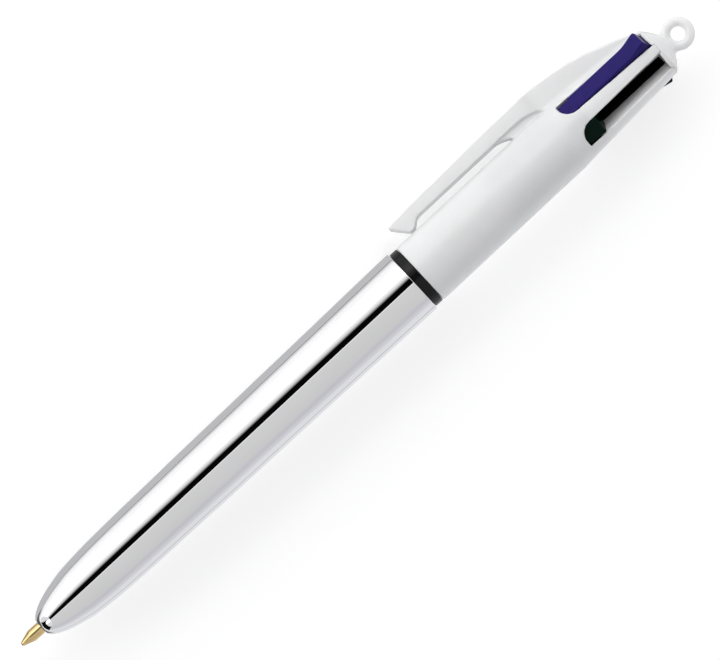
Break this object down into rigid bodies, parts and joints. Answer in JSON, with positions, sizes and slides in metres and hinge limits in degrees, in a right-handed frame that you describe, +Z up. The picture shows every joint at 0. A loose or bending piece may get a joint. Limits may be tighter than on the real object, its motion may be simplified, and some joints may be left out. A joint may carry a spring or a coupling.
{
  "type": "multicolor click pen",
  "caption": "Retractable pen with colour sliders in a slotted upper barrel, a screw-on tapered lower barrel, a pocket clip and a domed cap with a lanyard ring.",
  "frame": {"origin": "centre of the bounding box's bottom face, under the middle of the pen as it lies on a surface", "axes": "+X along the pen from writing point to lanyard ring, +Z up; the pen lies on its lower barrel with the clip's side rolled down onto the surface towards +Y"},
  "size_m": [0.1482, 0.0158, 0.0119],
  "materials": {
    "chrome": "mirror-bright plating",
    "black_plastic": "glossy moulded",
    "white_plastic": "glossy moulded",
    "inner_white_plastic": "matt moulded",
    "tube_plastic": "clear extruded tube",
    "brass": "turned, bright",
    "steel": "drawn wire and ground ball",
    "slider_blue": "glossy moulded",
    "slider_green": "glossy moulded",
    "slider_black": "glossy moulded",
    "slider_red": "glossy moulded",
    "ink_blue": "ink column",
    "ink_green": "ink column",
    "ink_black": "ink column",
    "ink_red": "ink column"
  },
  "bodies": {
    "upper": {"upper_barrel": "white_plastic", "top_cap": "white_plastic", "screw_sleeve": "black_plastic", "spring_seat": "inner_white_plastic", "spring_blue": "steel", "spring_green": "steel", "spring_black": "steel", "spring_red": "steel"},
    "ring": {"joint_ring": "black_plastic"},
    "lower": {"lower_barrel": "chrome"},
    "clip": {"clip_arm": "white_plastic"},
    "press_blue": {"slider_blue": "slider_blue"},
    "refill_blue": {"refill_tube_blue": "tube_plastic", "ink_blue": "ink_blue", "point_blue": "brass"},
    "writing_ball_blue": {"ball_blue": "steel"},
    "press_green": {"slider_green": "slider_green"},
    "refill_green": {"refill_tube_green": "tube_plastic", "ink_green": "ink_green", "point_green": "brass"},
    "writing_ball_green": {"ball_green": "steel"},
    "press_black": {"slider_black": "slider_black"},
    "refill_black": {"refill_tube_black": "tube_plastic", "ink_black": "ink_black", "point_black": "brass"},
    "writing_ball_black": {"ball_black": "steel"},
    "press_red": {"slider_red": "slider_red"},
    "refill_red": {"refill_tube_red": "tube_plastic", "ink_red": "ink_red", "point_red": "brass"},
    "writing_ball_red": {"ball_red": "steel"}
  },
  "joints": [
    {"name": "barrel_unscrew", "type": "hinge", "parent": "upper", "child": "ring", "pos_m": [0.01328, -0.00196, 0.00594], "axis": [-1, 0, 0], "range_deg": [0, 1800.01]},
    {"name": "barrel_advance", "type": "slide", "parent": "ring", "child": "lower", "axis": [-1, 0, 0], "range_m": [0, 0.00625]},
    {"name": "clip_flex", "type": "hinge", "parent": "upper", "child": "clip", "pos_m": [0.04163, 0.00704, 0.00192], "axis": [0, -0.4075, -0.9132], "range_deg": [0, 6], "stiffness_Nm_per_rad": 1},
    {"name": "blue_slide", "type": "slide", "parent": "upper", "child": "press_blue", "axis": [-1, 0, 0], "range_m": [0, 0.014], "stiffness_N_per_m": 150, "springref_m": -0.006, "deforming": ["spring_blue", "refill_tube_blue", "ink_blue", "point_blue", "ball_blue"]},
    {"name": "blue_lean", "type": "hinge", "parent": "press_blue", "child": "refill_blue", "pos_m": [0.0446, 0.00061, 0.00748], "axis": [0, -0.5143, 0.8576], "range_deg": [0, 1.73]},
    {"name": "blue_ball_roll", "type": "hinge", "parent": "refill_blue", "child": "writing_ball_blue", "pos_m": [-0.0598, 0.00061, 0.00748], "axis": [0, -0.5143, 0.8576], "continuous": true},
    {"name": "green_slide", "type": "slide", "parent": "upper", "child": "press_green", "axis": [-1, 0, 0], "range_m": [-0.014, 0], "deforming": ["spring_green", "refill_tube_green", "ink_green", "point_green", "ball_green"]},
    {"name": "green_lean", "type": "hinge", "parent": "press_green", "child": "refill_green", "pos_m": [0.0306, -0.00253, 0.00888], "axis": [0, -0.9818, -0.19], "range_deg": [-1.73, 0]},
    {"name": "green_ball_roll", "type": "hinge", "parent": "refill_green", "child": "writing_ball_green", "pos_m": [-0.07375, -0.00193, 0.0058], "axis": [0, -0.9818, -0.19], "continuous": true},
    {"name": "black_slide", "type": "slide", "parent": "upper", "child": "press_black", "axis": [-1, 0, 0], "range_m": [0, 0.014], "stiffness_N_per_m": 150, "springref_m": -0.006, "deforming": ["spring_black", "refill_tube_black", "ink_black", "point_black", "ball_black"]},
    {"name": "black_lean", "type": "hinge", "parent": "press_black", "child": "refill_black", "pos_m": [0.0446, -0.00453, 0.00439], "axis": [0, 0.5143, -0.8576], "range_deg": [0, 1.73]},
    {"name": "black_ball_roll", "type": "hinge", "parent": "refill_black", "child": "writing_ball_black", "pos_m": [-0.0598, -0.00453, 0.00439], "axis": [0, 0.5143, -0.8576], "continuous": true},
    {"name": "red_slide", "type": "slide", "parent": "upper", "child": "press_red", "axis": [-1, 0, 0], "range_m": [0, 0.014], "stiffness_N_per_m": 150, "springref_m": -0.006, "deforming": ["spring_red", "refill_tube_red", "ink_red", "point_red", "ball_red"]},
    {"name": "red_lean", "type": "hinge", "parent": "press_red", "child": "refill_red", "pos_m": [0.0446, -0.00139, 0.00299], "axis": [0, 0.9818, 0.19], "range_deg": [0, 1.73]},
    {"name": "red_ball_roll", "type": "hinge", "parent": "refill_red", "child": "writing_ball_red", "pos_m": [-0.0598, -0.00139, 0.00299], "axis": [0, 0.9818, 0.19], "continuous": true}
  ],
  "couplings": [
    {"joint": "barrel_unscrew", "follows": "barrel_advance", "rad_per_m": 5026.5},
    {"joint": "blue_lean", "follows": "blue_slide", "rad_per_m": 2.1504},
    {"joint": "green_lean", "follows": "green_slide", "rad_per_m": 2.1504},
    {"joint": "black_lean", "follows": "black_slide", "rad_per_m": 2.1504},
    {"joint": "red_lean", "follows": "red_slide", "rad_per_m": 2.1504}
  ]
}
